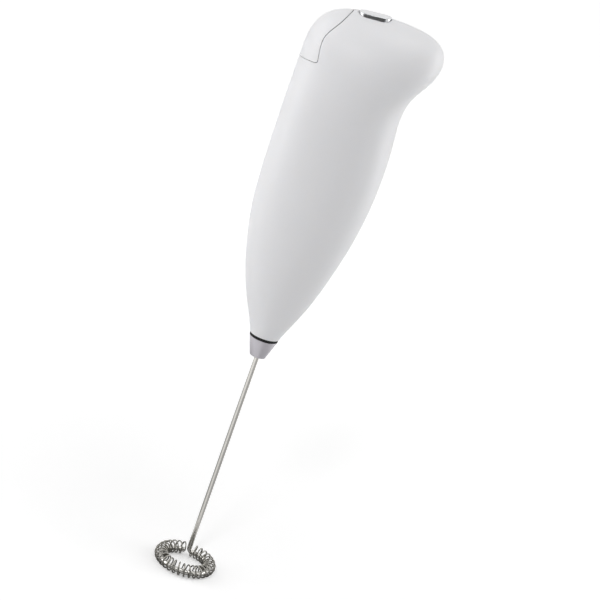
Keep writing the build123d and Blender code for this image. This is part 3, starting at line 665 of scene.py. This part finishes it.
# ---- whisk ------------------------------------------------------------------------------------------
class FROTHER_OT_whisk_frame(bpy.types.Operator):
    """Draws the whisk's shaft down, bends it and spins it into the core ring"""
    bl_idname = "frother.whisk_frame"
    bl_label = "Whisk shaft and core"

    def execute(self, context):
        s = context.scene.frother.whisk
        r = s.wire_radius
        ring_r = wire_high.x - r
        middle = -hypot(ring_r, s.bend_radius)
        bend = atan2(s.bend_radius, ring_r)
        level = coil_low.z + 2 * s.coil_wire + s.coil_seat + r
        start_fresh()
        bpy.ops.mesh.primitive_circle_add(vertices=WIRE_SIDES, radius=r, fill_type="NGON",
                                          location=(0, 0, wire_high.z))
        wire = bpy.context.object
        bpy.ops.object.transform_apply(location=True)
        bpy.ops.object.mode_set(mode="EDIT")
        bpy.ops.mesh.select_all(action="SELECT")
        foot = level + s.bend_radius
        bpy.ops.mesh.extrude_region_move(TRANSFORM_OT_translate={"value": (0, 0, foot - wire_high.z)})
        along = Vector((cos(bend), -sin(bend), 0))
        pin = along * s.bend_radius + Vector((0, 0, foot))
        bpy.ops.mesh.delete(type="ONLY_FACE")
        pick(wire, lambda co: abs(co.z - foot) < MERGE)
        bpy.ops.mesh.spin(steps=BEND_STEPS, angle=-pi / 2, center=pin, axis=along.cross(Vector((0, 0, 1))))
        bpy.ops.mesh.spin(steps=RING_STEPS, angle=s.core_end - bend - TIP_SPAN,
                          center=(0, middle, level), axis=(0, 0, 1))
        tip = s.core_end - TIP_SPAN
        onward = Vector((cos(tip), -sin(tip), 0))
        for share, grow in TIP_STEPS:
            bpy.ops.mesh.extrude_region_move(
                TRANSFORM_OT_translate={"value": onward * ring_r * TIP_SPAN * share})
            mesh = bmesh.from_edit_mesh(wire.data)
            chosen = [v.co.copy() for v in mesh.verts if v.select]
            centre = sum(chosen, Vector()) / len(chosen)
            bpy.ops.transform.resize(value=(grow, grow, grow), center_override=centre)
        bpy.ops.mesh.edge_face_add()
        close_mesh()
        seat(wire, "whisk_wire", "rotor", "whisk_steel", "whisk_frame", smooth=50)
        return {"FINISHED"}


class FROTHER_OT_whisk_coil(bpy.types.Operator):
    """Winds a straight spring and bends it into the ring, resting on the core"""
    bl_idname = "frother.whisk_coil"
    bl_label = "Whisk coil"

    def execute(self, context):
        s = context.scene.frother.whisk
        core_r = wire_high.x - s.wire_radius
        span = s.coil_end - s.coil_start
        length = core_r * span
        pitch = length / s.turns
        wound = s.coil_radius - s.coil_wire
        turned = 2 * pi * s.phase
        start_fresh()
        bpy.ops.mesh.primitive_circle_add(vertices=COIL_SIDES, radius=s.coil_wire, rotation=(turned, 0, 0),
                                          location=(-length / 2, -wound * cos(turned), -wound * sin(turned)))
        coil = bpy.context.object
        bpy.ops.object.transform_apply(location=True, rotation=True)
        screw = coil.modifiers.new("winding", "SCREW")
        screw.axis = "X"
        screw.angle = 2 * pi
        screw.screw_offset = pitch
        screw.iterations = s.turns
        screw.steps = screw.render_steps = COIL_STEPS
        screw.use_merge_vertices = True
        bpy.ops.object.modifier_apply(modifier=screw.name)
        bpy.ops.object.mode_set(mode="EDIT")
        bpy.ops.mesh.select_all(action="DESELECT")
        bpy.ops.mesh.select_non_manifold()
        bpy.ops.mesh.fill_holes(sides=0)
        close_mesh()
        bend = coil.modifiers.new("ring", "SIMPLE_DEFORM")
        bend.deform_method = "BEND"
        bend.deform_axis = "Z"
        bend.angle = span * (coil.dimensions.x / length)
        bpy.ops.object.modifier_apply(modifier=bend.name)
        lean = pi - (s.coil_start + s.coil_end) / 2
        level = coil_low.z + s.coil_radius
        coil.rotation_euler = (0, 0, lean)
        coil.location = (core_r * sin(lean), -hypot(core_r, s.bend_radius) - core_r * cos(lean), level)
        # the coil takes the darker copy of the steel, whose colour is painted shade
        seat(coil, "whisk_winding", "rotor", "whisk_steel", "whisk_coil", smooth=60, finish="spring_wire")
        return {"FINISHED"}


# ---- sidebar, registration and run ----------------------------------------------------------------
class FROTHER_PT_sidebar(bpy.types.Panel):
    """Lists the pieces of the frother and its stage"""
    bl_idname = "FROTHER_PT_sidebar"
    bl_label = "Milk frother"
    bl_space_type = "VIEW_3D"
    bl_region_type = "UI"
    bl_category = "Frother"

    def draw(self, context):
        for operator in OPERATORS:
            self.layout.operator(operator.bl_idname)


GROUPS = [FrotherFinishes, FrotherNozzle, FrotherButton, FrotherWhisk, FrotherStage, FrotherSettings]
OPERATORS = [FROTHER_OT_stage, FROTHER_OT_carried_parts, FROTHER_OT_nozzle, FROTHER_OT_seal,
             FROTHER_OT_button, FROTHER_OT_whisk_frame, FROTHER_OT_whisk_coil]


def register():
    for cls in GROUPS + OPERATORS + [FROTHER_PT_sidebar]:
        bpy.utils.register_class(cls)
    bpy.types.Scene.frother = PointerProperty(type=FrotherSettings)


def unregister():
    del bpy.types.Scene.frother
    for cls in reversed(GROUPS + OPERATORS + [FROTHER_PT_sidebar]):
        bpy.utils.unregister_class(cls)


def main():
    register()
    FINISH.update(make_finishes(bpy.context.scene.frother.finishes))
    bpy.ops.frother.stage()
    bpy.ops.frother.carried_parts()
    bpy.ops.frother.nozzle()
    bpy.ops.frother.seal()
    bpy.ops.frother.button()
    bpy.ops.frother.whisk_frame()
    bpy.ops.frother.whisk_coil()


if __name__ == "__main__":
    main()
